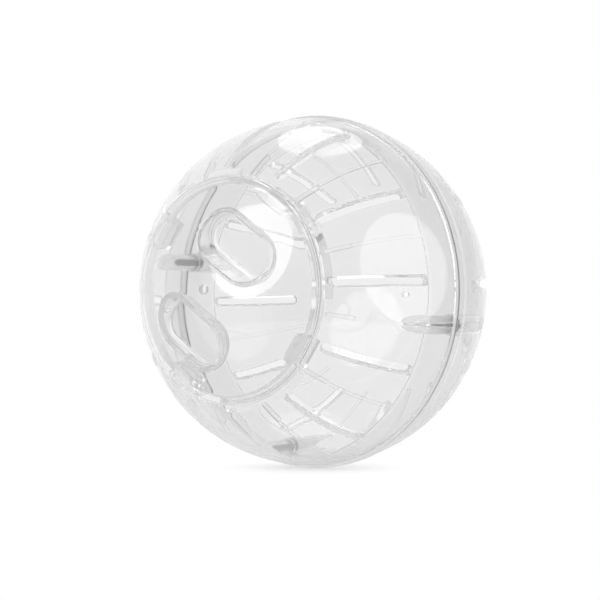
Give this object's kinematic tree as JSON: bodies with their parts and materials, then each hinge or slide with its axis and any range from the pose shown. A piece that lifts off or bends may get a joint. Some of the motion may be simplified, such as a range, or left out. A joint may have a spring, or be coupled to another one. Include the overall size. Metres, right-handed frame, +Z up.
{
  "type": "hamster ball",
  "caption": "Clear plastic exercise ball for a small pet, in vented half shells screwed together at a lapped seam, with a twist-in lid that has finger wells.",
  "frame": {"origin": "centre of the ball, on the pole axis and at the equator where the halves meet", "axes": "+Y along the pole axis from the lid towards the rear pole, +Z up, +X to the right seen from the lid"},
  "size_m": [0.1216, 0.12, 0.1216],
  "materials": {
    "clear_polystyrene": "clear injection-moulded polystyrene",
    "steel_screws": "plain zinc-plated steel"
  },
  "bodies": {
    "ball": {"front_half_shell": "clear_polystyrene", "rear_half_shell": "clear_polystyrene", "assembly_screws": "steel_screws"},
    "lid": {"lid": "clear_polystyrene"}
  },
  "joints": [
    {"name": "lid_lift_off", "type": "slide", "parent": "ball", "child": "lid", "axis": [0, -1, 0], "range_m": [0, 0.05]}
  ]
}
